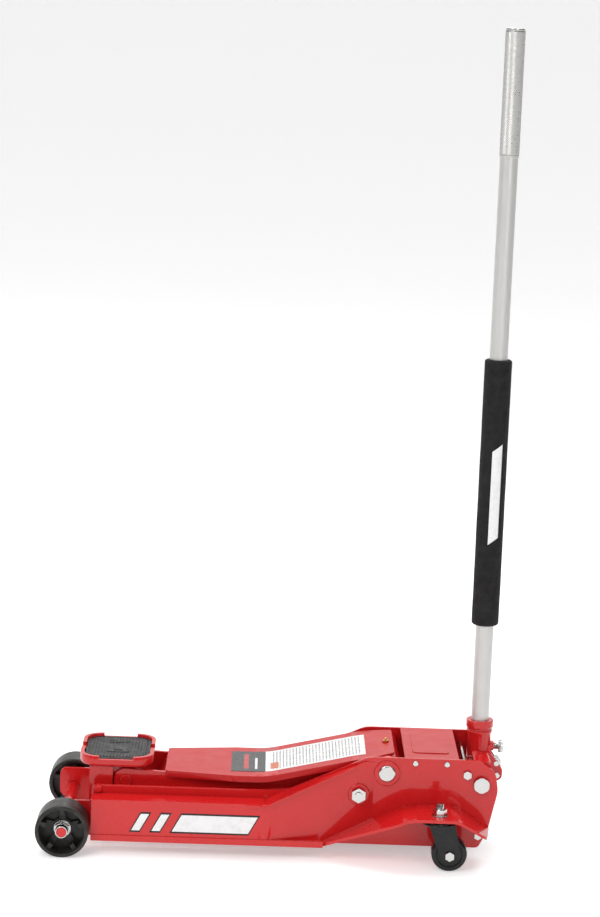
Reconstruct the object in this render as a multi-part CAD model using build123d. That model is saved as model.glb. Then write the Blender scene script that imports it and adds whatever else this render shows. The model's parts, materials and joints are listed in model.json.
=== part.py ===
from build123d import *
import math
import os

# A hydraulic trolley jack, arm down and handle upright, in millimetres.
# X runs from the saddle end to the handle end, Z is up, and the mid-plane is at y = 0. Heights are
# measured from a datum that is "stand" above the floor, and each piece is raised by that much as it
# is exported. Outlines of side-on parts are (x, z) points, plan views are (x, |y|) points.
# "left" is the -Y side.

# ---------------------------------------------------------------- driving dimensions
# chassis plates
stand = 5.0                 # floor to the datum of all heights
plate_outer = 86.0          # mid-plane to the outer face of a side plate
plate_thick = 4.0
plate_bottom = 13.0
strip_top = 97.0            # top edge of the low front part
plate_top = 157.0           # top edge of the high rear part
plate_rear = 358.0
tongue_reach = 22.0         # front axle to the tongue's tip
tongue_low = 22.0
tongue_top = 70.0
skirt_set = 44.0            # front axle back to the skirt's front edge
skirt_rear = 160.0
skirt_gap = 32.0            # side plate to the inside of the skirt's wall
skirt_thick = 4.0
skirt_bottom = 17.0
shelf_top = 84.0
slope_start = -10.0         # where the skirt's top edge begins to climb
slope_end = 145.0           # where it meets the side plate
lip_reach = 5.0             # rolled lip along the climbing edge
lip_thick = 3.0
fold_height = 10.0          # thickened fold along the skirt's foot
fold_reach = 1.5
flange_reach = 43.0         # how far the flange stands out past the skirt
flange_top = 82.5
flange_thick = 5.0
flange_start = 82.0         # where the flange leaves the skirt's foot
flange_crest = 216.0        # where it levels out
flange_fall = 292.0         # where it begins to drop again
flange_rear = 347.0
flange_low = 46.0           # its height at the rear
main_boss_radius = 20.5     # weld-on rings round two of the pivots
main_boss_height = 3.0
rod_boss_radius = 17.0
rod_boss_height = 8.0

# fastenings of the chassis
tie_x = 308.0
tie_z = 133.0
tie_radius = 4.5
tie_head = 12.5             # across flats
cover_screw_x = (225.0, 275.0)
cover_screw_z = 149.0
cover_screw_radius = 3.0
side_bolt_radius = 3.0
side_bolt_head = 11.0       # across flats
rod_nut = 21.0              # across flats
socket_bolt_head = 24.0     # across flats

# rear top cover
top_cover_front = 208.0
top_cover_rear = 294.0
top_cover_thick = 4.0
top_cover_drop = 18.0
top_panel_rise = 1.2

# front axle and wheels
front_axle_set = 94.0       # saddle pivot forward to the axle
front_wheel_radius = 42.0
front_wheel_width = 48.0
front_wheel_gap = 13.0      # side plate to the wheel's inner face
front_rim = 6.0
front_hub_radius = 15.0
front_hub_recess = 22.0     # wheel's outer face back to the hub's face
front_spokes = 5
front_axle_radius = 8.0
front_nut = 22.0            # across flats
front_nut_length = 22.0

# lift arm
main_pivot_x = 180.5
main_pivot_z = 131.5
main_shaft_radius = 12.0
main_head_radius = 13.5
arm_length = 416.0
arm_rest_drop = 4.75        # degrees below level at rest
arm_side_outer = 56.0
arm_side_thick = 6.0
hub_radius = 23.0
hub_gap = 8.0               # side plate's outer face to the hub's end
cover_thick = 4.0
cover_lip = 10.0            # depth of the turned-down side edges
cover_top = 116.0
cover_crown = 159.0         # height of the cover's rear edge
cover_bends = (160.0, 120.0)
cover_set = 63.0            # saddle pivot back to the cover's front edge
cover_rear_x = 192.0
cover_front_half = 61.0
cover_gap = 9.0             # side plate's outer face to the cover's edge, at the rear
hub_clear = 3.5             # hub tube down to the top of the ram's crosshead
lug_radius = 50.0
lug_swing = 29.5            # the lug starts this far behind straight down, and ends as far ahead
lug_pin_radius = 7.0
lug_inner = 16.0
lug_thick = 8.0
lug_eye = 8.0               # metal round the lug pin
label_front = -67.0
label_rear = 147.0
label_half = 53.0
label_thick = 0.5

# saddle and its levelling rods
level_dx = 44.0             # rod pivots sit this far ahead of the arm's pivots
level_dz = 34.0             # and this far below
rod_gap = 10.0              # side plate's inner face to a levelling rod
rod_thick = 6.0
rod_depth = 16.0
saddle_ahead = 16.0         # saddle pivot forward to the saddle's middle
saddle_top = 137.0
saddle_length = 117.0
saddle_width = 133.0
saddle_corner = 30.0
saddle_wall = 6.0
saddle_depth = 17.0
saddle_stem_radius = 13.0
bracket_front_half = 60.0
saddle_pin_radius = 9.0
level_pin_radius = 6.0
saddle_floor = 7.0          # thickness under the pad
saddle_notch = 5.0          # depth of the gaps between the four corner lips
pad_gap = 0.5
pad_sunk = 3.0              # pad's top below the lips

# ram and power unit
ram_z = 86.0
ram_radius = 10.0
cylinder_inner = 17.0
cylinder_outer = 23.0
cylinder_front_x = 227.0
block_front_x = 292.0
reservoir_outer = 31.0
reservoir_inner = 28.0
gland_length = 6.0
piston_length = 8.0
block_half = 42.0
crosshead_half = 15.0
ram_slot_gap = 0.9
spring_y = 36.0
spring_radius = 5.0
spring_wire = 1.8

# handle socket
socket_x = 331.0
socket_pivot_z = 118.0
socket_top = 201.0
socket_radius = 19.0
socket_bottom = 138.0
cheek_gap = 4.0             # side plate's inner face to a cheek
cheek_thick = 12.0
pivot_bolt_radius = 8.0
ear_inner = 10.0
ear_thick = 5.0
striker_dx = 30.0           # striker pin, from the socket's pivot
striker_dz = -6.0
striker_radius = 5.0
pump_tilt = 30.0            # degrees from vertical, pump and release valve alike
striker_gap = 1.6
roller_dx = 29.0            # guide roller, from the socket's pivot
roller_dz = 13.0
roller_radius = 8.0
roller_pin_radius = 4.0
plunger_radius = 6.0
plunger_cap_radius = 9.5
plunger_cap_thick = 4.0
plunger_spring_wire = 1.6
plunger_bore_depth = 41.0
plunger_insert = 9.0
pump_face_drop = 53.0       # plunger cap's top down to the block's sloping face
release_ball_radius = 9.0
release_stem_radius = 4.0
release_reach = 64.0
release_pin_radius = 2.5
release_slot_gap = 0.9

# handle
handle_radius = 14.25
handle_wall = 2.05
handle_bottom = 131.0
handle_top = 1300.0
grip_wall = 7.75
grip_bottom = 358.5
grip_top = 786.5
knurl_length = 195.0        # knurled stretch under the cap
knurl_rise = 0.75
cap_height = 4.0
thumb_z = 157.0
thumb_end_x = 370.0
thumb_head_radius = 10.75
thumb_head_length = 7.0
thumb_shaft_radius = 5.5
thumb_boss_radius = 8.0

# rear casters
caster_x = 263.0
caster_set = 25.0           # flange's outer edge in to the kingpin
caster_trail = 17.0
caster_wheel_radius = 28.0
caster_wheel_width = 26.0
caster_axle_radius = 4.0
fork_leg_thick = 4.0
fork_gap = 1.5              # wheel to fork leg
crown_radius = 27.0
crown_thick = 4.0
race_radius = 19.0
race_thick = 3.5
king_radius = 6.0
king_nut = 19.0             # across flats

# clearances
running = 0.05              # radial, pin in a bore that turns
free = 0.3                  # face to face, between moving parts
side_gap = 1.0              # face to face, between parts that pass each other

# ---------------------------------------------------------------- derived places
drop = math.radians(arm_rest_drop)
saddle_pivot_x = main_pivot_x - arm_length * math.cos(drop)
saddle_pivot_z = main_pivot_z - arm_length * math.sin(drop)
level_rear_x = main_pivot_x - level_dx
level_rear_z = main_pivot_z - level_dz
level_front_x = saddle_pivot_x - level_dx
saddle_x = saddle_pivot_x - saddle_ahead
cover_front_x = saddle_pivot_x + cover_set
front_axle_x = saddle_pivot_x - front_axle_set
tongue_front = front_axle_x - tongue_reach
skirt_front = front_axle_x + skirt_set
side_bolt_places = ((skirt_front + 8, strip_top - 6), (socket_x - 2, plate_bottom + 20))
level_front_z = saddle_pivot_z - level_dz
swing = math.radians(lug_swing)
lug_pin_x = main_pivot_x + lug_radius * math.sin(swing)
lug_pin_z = main_pivot_z - lug_radius * math.cos(swing)
plate_inner = plate_outer - plate_thick
skirt_outer = plate_outer + skirt_gap + skirt_thick
flange_outer = skirt_outer + flange_reach
caster_y = flange_outer - caster_set
front_wheel_face = plate_outer + front_wheel_gap + front_wheel_width
hub_half = plate_outer - hub_gap
cover_rear_half = plate_outer - cover_gap
cheek_outer = plate_inner - cheek_gap
rod_inner = plate_inner - rod_gap - rod_thick
front_axle_z = front_wheel_radius - stand
front_hub_face = front_wheel_face - front_hub_recess
caster_axle_x = caster_x + caster_trail
caster_axle_z = caster_wheel_radius - stand
fork_top = flange_top - flange_thick - race_thick - free
knurl_radius = handle_radius + knurl_rise
knurl_bottom = handle_top - cap_height - knurl_length
grip_radius = handle_radius + grip_wall
lug_pin_low = main_pivot_z - lug_radius
skirt_top = plate_top - 7
skirt_climb = (skirt_top - shelf_top) / (slope_end - slope_start)
flange_foot = skirt_bottom + flange_thick
flange_slope = (flange_top - flange_foot) / (flange_crest - flange_start)
roller_x = socket_x + roller_dx
roller_z = socket_pivot_z + roller_dz
tilt = math.radians(pump_tilt)
pump_down = (-math.sin(tilt), -math.cos(tilt))
striker_x = socket_x + striker_dx
striker_z = socket_pivot_z + striker_dz
cap_x = striker_x + (striker_radius + striker_gap) * pump_down[0]
cap_z = striker_z + (striker_radius + striker_gap) * pump_down[1]
pump_face_x = cap_x + pump_face_drop * pump_down[0]
pump_face_z = cap_z + pump_face_drop * pump_down[1]


# ---------------------------------------------------------------- helpers
def outline(points, radii=0.0):
    """A closed flat outline, with one corner radius for all or one for each corner."""
    return make_face(FilletPolyline(*points, radius=radii, close=True))


def side(face, y_low, y_high):
    """An (x, z) outline as a slab between two y values."""
    plane = Plane(origin=(0, y_high, 0), x_dir=(1, 0, 0), z_dir=(0, -1, 0))
    return extrude(plane * face, y_high - y_low)


def plan(face, z_low, z_high):
    """An (x, y) outline as a slab between two heights."""
    return extrude(Plane.XY.offset(z_low) * face, z_high - z_low)


def rod(start, end, radius):
    """A round bar from one point to another."""
    run = Vector(*end) - Vector(*start)
    return extrude(Plane(origin=start, z_dir=run.normalized()) * Circle(radius), run.length)


def rod_y(x, z, radius, y_low, y_high):
    return rod((x, y_low, z), (x, y_high, z), radius)


def hexagon(start, end, across_flats):
    """A hexagonal bar from one point to another."""
    run = Vector(*end) - Vector(*start)
    flat = RegularPolygon(across_flats / 2, 6, major_radius=False)
    return extrude(Plane(origin=start, z_dir=run.normalized()) * flat, run.length)


def box(x_low, x_high, y_low, y_high, z_low, z_high):
    """A block between two corners."""
    middle = ((x_low + x_high) / 2, (y_low + y_high) / 2, (z_low + z_high) / 2)
    return Pos(*middle) * Box(x_high - x_low, y_high - y_low, z_high - z_low)


def left(part):
    """The -Y twin of a part modelled on the +Y side."""
    return mirror(part, about=Plane.XZ)


def pair(part):
    """A part and its mirror image, as one group of separate solids."""
    return Compound(children=[*part.solids(), *left(part).solids()])


def band(points, radii, thick):
    """A bent strip seen from its edge: the points are its top line, and it is thick below them."""
    under = [(x, z - thick) for x, z in reversed(points)]
    inner = list(radii)
    return outline([*points, *under], [0, *inner, 0, 0, *reversed(inner), 0])


# ---------------------------------------------------------------- chassis
def side_plate():
    """Flat side plate with its front tongue, high rear part and holes for everything it carries."""
    points = [(tongue_front, tongue_low), (tongue_front, tongue_top), (skirt_front - 3, tongue_top),
              (skirt_front - 1, strip_top), (20, strip_top), (main_pivot_x - 30, plate_top),
              (plate_rear - 33, plate_top), (plate_rear - 6, plate_top - 17),
              (plate_rear, socket_pivot_z - 10), (plate_rear - 14, plate_bottom + 29),
              (plate_rear - 28, plate_bottom), (tongue_front + 50, plate_bottom)]
    radii = [14, 10, 4, 9, 60, 40, 12, 22, 40, 20, 9, 30]
    plate = side(outline(points, radii), plate_inner, plate_outer)
    holes = [(front_axle_x, front_axle_z, front_axle_radius),
             (main_pivot_x, main_pivot_z, main_shaft_radius),
             (level_rear_x, level_rear_z, level_pin_radius),
             (socket_x, socket_pivot_z, pivot_bolt_radius),
             (tie_x, tie_z, tie_radius)]
    holes += [(x, cover_screw_z, cover_screw_radius) for x in cover_screw_x]
    holes += [(x, z, side_bolt_radius) for x, z in side_bolt_places]
    for x, z, radius in holes:
        plate -= rod_y(x, z, radius, plate_inner - 1, plate_outer + 1)
    return plate


def wall_line(grow):
    """Plan-view line of the skirt's wall, moved out by grow: straight, then in to the side plate."""
    return [(skirt_front, skirt_outer + grow), (slope_start, skirt_outer + grow),
            (skirt_rear, plate_outer + grow)]


def skirt_plan(grow):
    """Plan region between the side plate and the skirt's wall."""
    line = wall_line(grow)
    inside = plate_outer - 10
    return outline([(skirt_front, inside), *line, (line[-1][0], inside)], [0, 0, 90, 0, 0])


def side_skirt():
    """Pressed skirt: shelf, outer wall, climbing top edge with a rolled lip, and the rear flange."""
    wall_foot = skirt_bottom + flange_thick / 2
    wall_rear_foot = wall_foot + flange_slope * (skirt_rear - flange_start)
    wall_side = outline([(skirt_front, skirt_bottom), (skirt_front, shelf_top), (slope_start, shelf_top),
                         (slope_end, skirt_top), (skirt_rear, skirt_top), (skirt_rear, wall_rear_foot),
                         (flange_start, wall_foot), (flange_start, skirt_bottom)],
                        [0, 0, 20, 0, 0, 0, 0, 0])
    region = plan(skirt_plan(0), 0, plate_top)
    hollow = plan(skirt_plan(-skirt_thick), 0, plate_top)
    full = side(wall_side, plate_outer, skirt_outer + 1) & region
    wall = full - hollow
    shelf_line = [(skirt_front, shelf_top), (slope_start, shelf_top), (slope_end, skirt_top)]
    shelf = side(band(shelf_line, [20], skirt_thick), plate_outer, skirt_outer + 1) & region
    lip_end = slope_end - 12
    lip_line = [(slope_start - 30, shelf_top), (slope_start, shelf_top),
                (lip_end, skirt_top - 12 * skirt_climb)]
    lip_region = plan(skirt_plan(lip_reach), 0, plate_top) - plan(skirt_plan(-0.5), 0, plate_top)
    lip = side(band(lip_line, [20], lip_thick), plate_outer, skirt_outer + lip_reach + 1) & lip_region
    fold = box(skirt_front, flange_start, skirt_outer - skirt_thick, skirt_outer + fold_reach, skirt_bottom,
               skirt_bottom + fold_height)
    flange_region = outline([(flange_start, plate_outer), (flange_start, skirt_outer - 6),
                             (flange_crest - 20, flange_outer), (flange_fall + 8, flange_outer),
                             (flange_rear - 9, flange_outer - 15), (flange_rear - 1, plate_outer)],
                            [0, 0, 70, 40, 16, 0])
    flange_path = [(flange_start, flange_foot), (flange_crest, flange_top), (flange_fall, flange_top),
                   (flange_rear, flange_low)]
    flange = side(band(flange_path, [60, 35], flange_thick), plate_outer, flange_outer + 1)
    flange = flange & plan(flange_region, 0, plate_top)
    flange -= rod((caster_x, caster_y, 0), (caster_x, caster_y, plate_top), king_radius)
    skirt = wall + shelf + lip + fold + flange
    beyond = skirt_outer + lip_reach + 1
    return skirt - rod_y(level_rear_x, level_rear_z, rod_boss_radius, plate_outer - 1, beyond)


def front_axle():
    """Dead axle across both tongues, carrying the front wheels, with the turned-down thread ends."""
    end = front_hub_face + side_gap + front_nut_length + 1
    bar = rod_y(front_axle_x, front_axle_z, front_axle_radius - running, -end, end)
    return chamfer(bar.edges().filter_by(GeomType.CIRCLE), 1.0)


def front_axle_nut():
    """Flanged lock nut on the +Y end of the front axle, sunk in the wheel, with a round collar outside."""
    x, z = front_axle_x, front_axle_z
    y = front_hub_face + side_gap
    nut = rod_y(x, z, front_hub_radius - 1.5, y, y + 2.5)
    nut += hexagon((x, y + 2.5, z), (x, y + 11, z), front_nut)
    collar = rod_y(x, z, front_axle_radius + 2, y + 11, y + front_nut_length)
    nut += chamfer(collar.faces().sort_by(Axis.Y)[-1].edges(), 0.8)
    return nut - rod_y(x, z, front_axle_radius - running, y - 1, y + front_nut_length + 1)


def front_spreader():
    """Tube over the front axle that holds the two tongues apart."""
    outer = rod_y(front_axle_x, front_axle_z, front_axle_radius + 2.5, -plate_inner, plate_inner)
    return outer - rod_y(front_axle_x, front_axle_z, front_axle_radius, -plate_inner, plate_inner)


def rear_top_cover():
    """Plate across the top behind the lift arm, with turned-down sides and a raised panel."""
    front, rear, half = top_cover_front, top_cover_rear, plate_inner
    under = plate_top - top_cover_thick
    top = box(front, rear, -half, half, under, plate_top)
    skirts = box(front, rear, half - top_cover_thick, half, plate_top - top_cover_drop, under)
    for x in cover_screw_x:
        skirts -= rod_y(x, cover_screw_z, cover_screw_radius, half - top_cover_thick - 1, half + 1)
    raised = plan(outline([(front + 14, -56), (front + 14, 56), (rear - 14, 56), (rear - 14, -56)], 8),
                  plate_top, plate_top + top_panel_rise)
    return top + skirts + left(skirts) + raised


def cover_screw(x):
    """Round-headed screw through a side plate into the rear cover."""
    head = rod_y(x, cover_screw_z, 4.6, plate_outer, plate_outer + 2.5)
    head = fillet(head.faces().sort_by(Axis.Y)[-1].edges(), 1.2)
    return head + rod_y(x, cover_screw_z, cover_screw_radius - running, plate_inner - 6, plate_outer)


def main_shaft():
    """Arm pivot shaft right across the chassis, with a domed head at each end."""
    reach = plate_outer + main_boss_height + 3
    shoulder = plate_outer + main_boss_height
    half = rod_y(main_pivot_x, main_pivot_z, main_shaft_radius - running, 0, shoulder)
    head = rod_y(main_pivot_x, main_pivot_z, main_head_radius, shoulder, reach)
    half += fillet(head.faces().sort_by(Axis.Y)[-1].edges(), 2.7)
    return half + left(half)


def pivot_boss(x, z, bore, radius, height):
    """Weld-on ring that stiffens a side plate round a pivot."""
    ring = rod_y(x, z, radius, plate_outer, plate_outer + height)
    ring = fillet(ring.faces().sort_by(Axis.Y)[-1].edges(), 1.5)
    return ring - rod_y(x, z, bore, plate_outer - 1, plate_outer + height + 1)


def rod_bolt():
    """Levelling rod's rear pivot bolt: stub through the side plate, with its hexagon nut outside."""
    face = plate_outer + rod_boss_height
    shank = rod_y(level_rear_x, level_rear_z, level_pin_radius - running, rod_inner - 3, face + 11)
    head = rod_y(level_rear_x, level_rear_z, 10, rod_inner - 6, rod_inner - free)
    nut = hexagon((level_rear_x, face, level_rear_z), (level_rear_x, face + 8, level_rear_z), rod_nut)
    return shank + head + nut


def socket_bolt():
    """Shouldered hexagon bolt that carries one side of the handle socket."""
    head = hexagon((socket_x, plate_outer, socket_pivot_z), (socket_x, plate_outer + 8, socket_pivot_z),
                   socket_bolt_head)
    base = Plane(origin=(socket_x, plate_outer, socket_pivot_z), z_dir=(0, 1, 0))
    cone = base * Circle(socket_bolt_head * 0.592)
    head &= extrude(cone, 9, taper=12)
    inner_end = cheek_outer - cheek_thick - 2
    return head + rod_y(socket_x, socket_pivot_z, pivot_bolt_radius - running, inner_end, plate_outer)


def tie_rod():
    """Round tie across the rear, drawn up by a small hexagon head on each side."""
    half = rod_y(tie_x, tie_z, tie_radius - running, 0, plate_outer)
    half += hexagon((tie_x, plate_outer, tie_z), (tie_x, plate_outer + 5, tie_z), tie_head)
    return half + left(half)


def side_bolt(x, z):
    """Short hexagon bolt through a side plate, with its nut inside."""
    bolt = hexagon((x, plate_outer, z), (x, plate_outer + 4.5, z), side_bolt_head)
    bolt += rod_y(x, z, side_bolt_radius - running, plate_inner - 4, plate_outer)
    return bolt + hexagon((x, plate_inner - 4, z), (x, plate_inner, z), side_bolt_head - 1)


# ---------------------------------------------------------------- power unit
def block_outline():
    """Side view of the pump block: flat base, upright front, and the sloping face of the pump bores."""
    slope_x, slope_z = math.cos(tilt), -math.sin(tilt)
    upper = (pump_face_x - 38 * slope_x, pump_face_z - 38 * slope_z)
    lower = (pump_face_x + 12 * slope_x, pump_face_z + 12 * slope_z)
    return outline([(block_front_x, 22), (block_front_x, upper[1] + 5), (upper[0], upper[1]), lower,
                    (324, 36), (316, plate_bottom + 3), (block_front_x + 6, plate_bottom + 3)],
                   [3, 3, 2, 4, 4, 4, 4])


def hydraulic_block():
    """Cast pump and valve block behind the ram cylinder, bored for the pump plunger and release valve."""
    block = side(block_outline(), -block_half, block_half)
    flange = rod((block_front_x, 0, ram_z), (block_front_x + 8, 0, ram_z), reservoir_outer + 3)
    block += flange
    face = (pump_face_x, 0, pump_face_z)
    deep = Vector(*face) + Vector(pump_down[0], 0, pump_down[1]) * plunger_bore_depth
    high = Vector(*face) - Vector(pump_down[0], 0, pump_down[1]) * 40
    block -= rod(high, deep, plunger_radius)
    ball = Vector(socket_x, 0, socket_pivot_z)
    direction = Vector(pump_down[0], 0, pump_down[1])
    block -= rod(ball, ball + direction * (release_reach + 1), release_stem_radius)
    for y in (-28, 28):
        block += box(block_front_x + 4, block_front_x + 24, y - 7, y + 7, 60, 74)
    lug = box(block_front_x + 8, 316, block_half, plate_inner, 24, 44)
    return block + lug + left(lug)


def cylinder_tube():
    """Ram cylinder, open at the gland end and closed by the block."""
    outer = rod((cylinder_front_x, 0, ram_z), (block_front_x, 0, ram_z), cylinder_outer)
    inner = rod((cylinder_front_x, 0, ram_z), (block_front_x, 0, ram_z), cylinder_inner)
    return outer - inner


def cylinder_gland():
    """Threaded gland that guides the ram and closes the cylinder and reservoir at the front."""
    front = (cylinder_front_x - 4, 0, ram_z)
    seat = (cylinder_front_x, 0, ram_z)
    ring = rod(front, seat, reservoir_outer)
    plug = rod(seat, (cylinder_front_x + gland_length, 0, ram_z), cylinder_inner)
    return ring + plug - rod(front, (cylinder_front_x + gland_length, 0, ram_z), ram_radius)


def reservoir_shell():
    """Oil reservoir sleeve round the cylinder."""
    start, end = (cylinder_front_x, 0, ram_z), (block_front_x, 0, ram_z)
    return rod(start, end, reservoir_outer) - rod(start, end, reservoir_inner)


def ram_rod():
    """Ram with its piston at the rear, shown fully in."""
    piston_end = block_front_x - 1
    piston_start = piston_end - piston_length
    shaft = rod((lug_pin_x + crosshead_half, 0, ram_z), (piston_start, 0, ram_z), ram_radius - running)
    return shaft + rod((piston_start, 0, ram_z), (piston_end, 0, ram_z), cylinder_inner - running)


def ram_crosshead():
    """Block on the ram's nose with an upright slot, where the arm's lug pin rides."""
    half_y = lug_inner - side_gap
    low, high = lug_pin_low, lug_pin_z
    slot = lug_pin_radius + ram_slot_gap
    arm_top = low - lug_pin_radius - lug_eye - side_gap
    foot = arm_top - 5
    head = main_pivot_z - hub_radius - hub_clear
    body = side(outline([(lug_pin_x - crosshead_half, foot), (lug_pin_x - crosshead_half, head),
                         (lug_pin_x + crosshead_half, head), (lug_pin_x + crosshead_half, foot)], 5),
                -half_y, half_y)
    body -= box(lug_pin_x - slot, lug_pin_x + slot, -half_y - 1, half_y + 1, low - slot, high + slot)
    arms = box(lug_pin_x - 5, lug_pin_x + 5, -spring_y - 6, spring_y + 6, foot, arm_top)
    return body + arms


def coil_spring(start, end, mean_radius, wire, turns):
    """Helical spring between two points."""
    run = Vector(*end) - Vector(*start)
    helix = Helix(pitch=run.length / turns, height=run.length, radius=mean_radius)
    section = Plane(origin=helix @ 0, z_dir=helix % 0) * Circle(wire / 2)
    coil = sweep(section, path=helix, is_frenet=True)
    return Plane(origin=start, z_dir=run.normalized()) * coil


def return_spring():
    """Extension spring on the +Y side from the crosshead's arm back to the block."""
    z = lug_pin_low - lug_pin_radius - lug_eye - side_gap - 2.5
    start, end = (lug_pin_x + 6.5, spring_y, z), (block_front_x - 1.5, spring_y, z)
    return coil_spring(start, end, spring_radius, spring_wire, 13)


def pump_plunger():
    """Pump plunger with its spring cap, at the top of its stroke."""
    top = Vector(cap_x, 0, cap_z)
    direction = Vector(pump_down[0], 0, pump_down[1])
    cap = rod(top, top + direction * plunger_cap_thick, plunger_cap_radius)
    return cap + rod(top, top + direction * (pump_face_drop + plunger_insert), plunger_radius - running)


def plunger_spring():
    """Compression spring that lifts the pump plunger."""
    top = Vector(cap_x, 0, cap_z)
    direction = Vector(pump_down[0], 0, pump_down[1])
    start = top + direction * (plunger_cap_thick + 1)
    end = top + direction * (pump_face_drop - 1)
    return coil_spring(start, end, plunger_radius + 1.5, plunger_spring_wire, 7)


def release_stem():
    """Release valve spindle with a slotted ball at the socket's pivot, driven by the handle's cross pin."""
    slot = release_pin_radius + release_slot_gap
    stem = Sphere(release_ball_radius) + Pos(0, 0, -release_reach / 2) * Cylinder(
        release_stem_radius - running, release_reach)
    cutter = Box(2 * slot, 4 * release_ball_radius, 2 * release_ball_radius)
    stem -= Pos(0, 0, release_ball_radius - 6.0) * cutter
    ball = Plane(origin=(socket_x, 0, socket_pivot_z), x_dir=(math.cos(tilt), 0, -math.sin(tilt)),
                 z_dir=(-pump_down[0], 0, -pump_down[1]))
    return ball * stem


# ---------------------------------------------------------------- lift arm
def arm_side():
    """Side plate of the lift arm, from the saddle pivot boss to the hub."""
    front_radius = saddle_pin_radius + 10
    x, z = saddle_pivot_x, saddle_pivot_z
    top = cover_top - cover_thick
    points = [(x - front_radius, z - front_radius), (x - front_radius, z + front_radius),
              (cover_front_x, top), (0, top), (130, 144), (cover_rear_x - 4, 153),
              (main_pivot_x + hub_radius, main_pivot_z), (main_pivot_x, main_pivot_z - hub_radius),
              (90, 70), (-60, 64)]
    radii = [18, 18, 10, 120, 60, 8, 20, 20, 120, 150]
    plate = side(outline(points, radii), arm_side_outer - arm_side_thick, arm_side_outer)
    plate -= rod_y(main_pivot_x, main_pivot_z, hub_radius, 0, plate_outer)
    plate -= rod_y(x, z, saddle_pin_radius, 0, plate_outer)
    return plate


def cover_line(raised):
    """Side view of the arm cover's upper face, raised by a given amount."""
    corners = [(cover_front_x, cover_top), (-10, cover_top), (130, cover_crown - 10.5),
               (cover_rear_x, cover_crown)]
    return [(x, z + raised) for x, z in corners]


def cover_plan(shrink):
    """Plan outline of the arm cover, drawn in at its sides by a given amount."""
    taper_end = -60.0
    front, rear, corner = cover_front_half - shrink, cover_rear_half - shrink, cover_front_half + 1 - shrink
    return outline([(cover_front_x, -front), (cover_front_x, front), (taper_end, rear),
                    (cover_rear_x - 40, rear), (cover_rear_x, corner), (cover_rear_x, -corner),
                    (cover_rear_x - 40, -rear), (taper_end, -rear)], [5, 5, 60, 20, 6, 6, 20, 60])


def arm_cover():
    """Top plate of the arm: level over the front half, then swept up to the hub, wider at the rear."""
    sheet = side(band(cover_line(0), cover_bends, cover_thick), -cover_rear_half, cover_rear_half)
    deep = side(band(cover_line(0), cover_bends, cover_lip), -cover_rear_half, cover_rear_half)
    region = plan(cover_plan(0), 0, 2 * plate_top)
    inside = plan(cover_plan(cover_thick), 0, 2 * plate_top)
    inside += box(cover_front_x - 1, cover_front_x + 30, -arm_side_outer - 1, arm_side_outer + 1,
                  0, 2 * plate_top)
    inside += box(main_pivot_x - 32, cover_rear_x + 1, -plate_outer, plate_outer, 0, 2 * plate_top)
    cover = (sheet & region) + (deep & region - inside)
    cover -= rod_y(main_pivot_x, main_pivot_z, hub_radius, -plate_outer, plate_outer)
    return cover - rod((main_pivot_x, 0, main_pivot_z), (main_pivot_x, 0, plate_top + 20), 6.0)


def arm_hub():
    """Pivot tube across the rear of the arm, with the two ram lugs welded under it."""
    tube = rod_y(main_pivot_x, main_pivot_z, hub_radius, -hub_half, hub_half)
    lug = side(make_face(Polyline(*lug_outline(), close=True)), lug_inner, lug_inner + lug_thick)
    lug += rod_y(lug_pin_x, lug_pin_z, lug_pin_radius + lug_eye, lug_inner, lug_inner + lug_thick)
    lug += rod_y(main_pivot_x, main_pivot_z, hub_radius - 1, lug_inner, lug_inner + lug_thick)
    hub = tube + lug + left(lug)
    hub -= rod_y(main_pivot_x, main_pivot_z, main_shaft_radius + running, -plate_outer, plate_outer)
    return hub - rod_y(lug_pin_x, lug_pin_z, lug_pin_radius, -60, 60)


def lug_outline():
    """Four-cornered web between the hub and the lug's eye, tangent-wide at both ends."""
    away = (math.cos(swing), math.sin(swing))
    wide, narrow = hub_radius - 2, lug_pin_radius + lug_eye - 0.5
    return [(main_pivot_x - wide * away[0], main_pivot_z - wide * away[1]),
            (main_pivot_x + wide * away[0], main_pivot_z + wide * away[1]),
            (lug_pin_x + narrow * away[0], lug_pin_z + narrow * away[1]),
            (lug_pin_x - narrow * away[0], lug_pin_z - narrow * away[1])]


def lug_pin():
    """Hardened pin through both lugs and the crosshead's slot."""
    half = lug_inner + lug_thick + 2
    return rod_y(lug_pin_x, lug_pin_z, lug_pin_radius, -half, half)


def arm_cross_plate():
    """Sloped plate that closes the arm between its sides, just behind the saddle."""
    inner = arm_side_outer - arm_side_thick
    low = (cover_front_x - 22, 74)
    high = (cover_front_x - 1, cover_top - cover_thick - 1)
    strip = outline([low, high, (high[0] + 4, high[1]), (low[0] + 4, low[1])])
    return side(strip, -inner, inner)


def saddle_pin():
    """Pin through the front of the arm that carries the saddle bracket."""
    half = arm_side_outer + 4
    pin = rod_y(saddle_pivot_x, saddle_pivot_z, saddle_pin_radius, -half, half)
    return chamfer(pin.edges().filter_by(GeomType.CIRCLE), 1.0)


def grease_fitting():
    """Brass grease nipple on the arm's hub."""
    x, base = main_pivot_x, main_pivot_z + hub_radius
    stem = rod((x, 0, base), (x, 0, base + 2), 2.9)
    body = hexagon((x, 0, base + 2), (x, 0, base + 5.5), 8)
    nose = rod((x, 0, base + 5.5), (x, 0, base + 7.5), 1.8) + Pos(x, 0, base + 8) * Sphere(2.2)
    return stem + body + nose


def arm_label():
    """Thin plate on the arm's cover, following its sweep."""
    half = label_half
    strip = side(band(cover_line(label_thick), cover_bends, label_thick), -half, half)
    return strip & box(label_front, label_rear, -half, half, 0, 2 * plate_top)


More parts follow.
